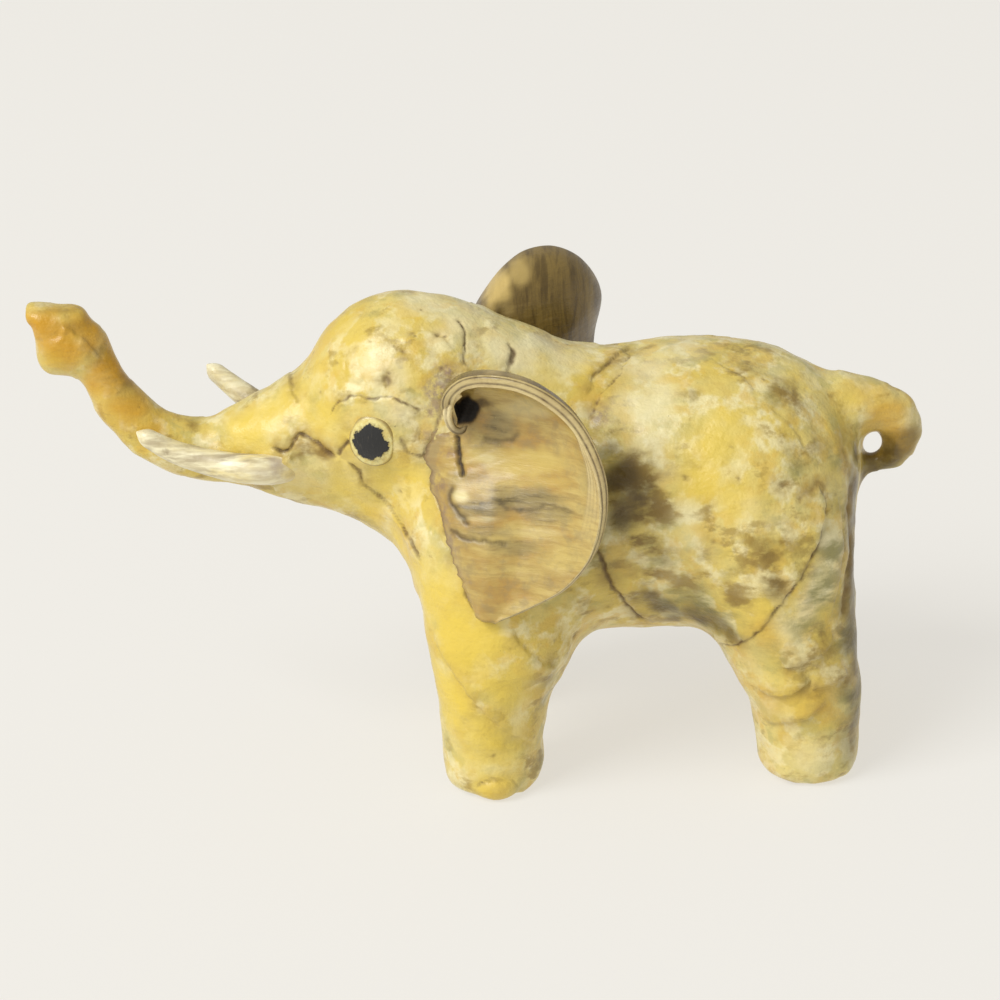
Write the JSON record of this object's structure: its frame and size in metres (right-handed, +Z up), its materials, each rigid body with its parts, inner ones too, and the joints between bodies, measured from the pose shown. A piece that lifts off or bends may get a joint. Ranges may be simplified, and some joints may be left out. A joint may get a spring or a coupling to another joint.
{
  "type": "papier-mache elephant sculpture",
  "caption": "Standing papier-mache elephant with a raised trunk, broad ears, tusks and a curled tail, hand painted yellow and lacquered.",
  "frame": {"origin": "on the ground, under the middle of the figure's bounding box", "axes": "+Z up, the trunk points towards -X and the tail towards +X, and the animal's left side faces -Y"},
  "size_m": [0.2358, 0.1068, 0.1328],
  "materials": {
    "form_lacquer": "glossy clear lacquer over yellow painted papier-mache with brown grime in the creases",
    "ear_lacquer": "glossy clear lacquer over khaki and ochre painted papier-mache with grey streaks",
    "tusk_lacquer": "glossy clear lacquer over cream painted papier-mache with grey streaks",
    "eye_paint": "glossy lacquer over cream papier-mache with a black painted pupil"
  },
  "bodies": {
    "root": {"elephant_form": "form_lacquer", "left_ear": "ear_lacquer", "right_ear": "ear_lacquer", "left_tusk": "tusk_lacquer", "right_tusk": "tusk_lacquer", "left_eye": "eye_paint", "right_eye": "eye_paint"}
  },
  "joints": []
}
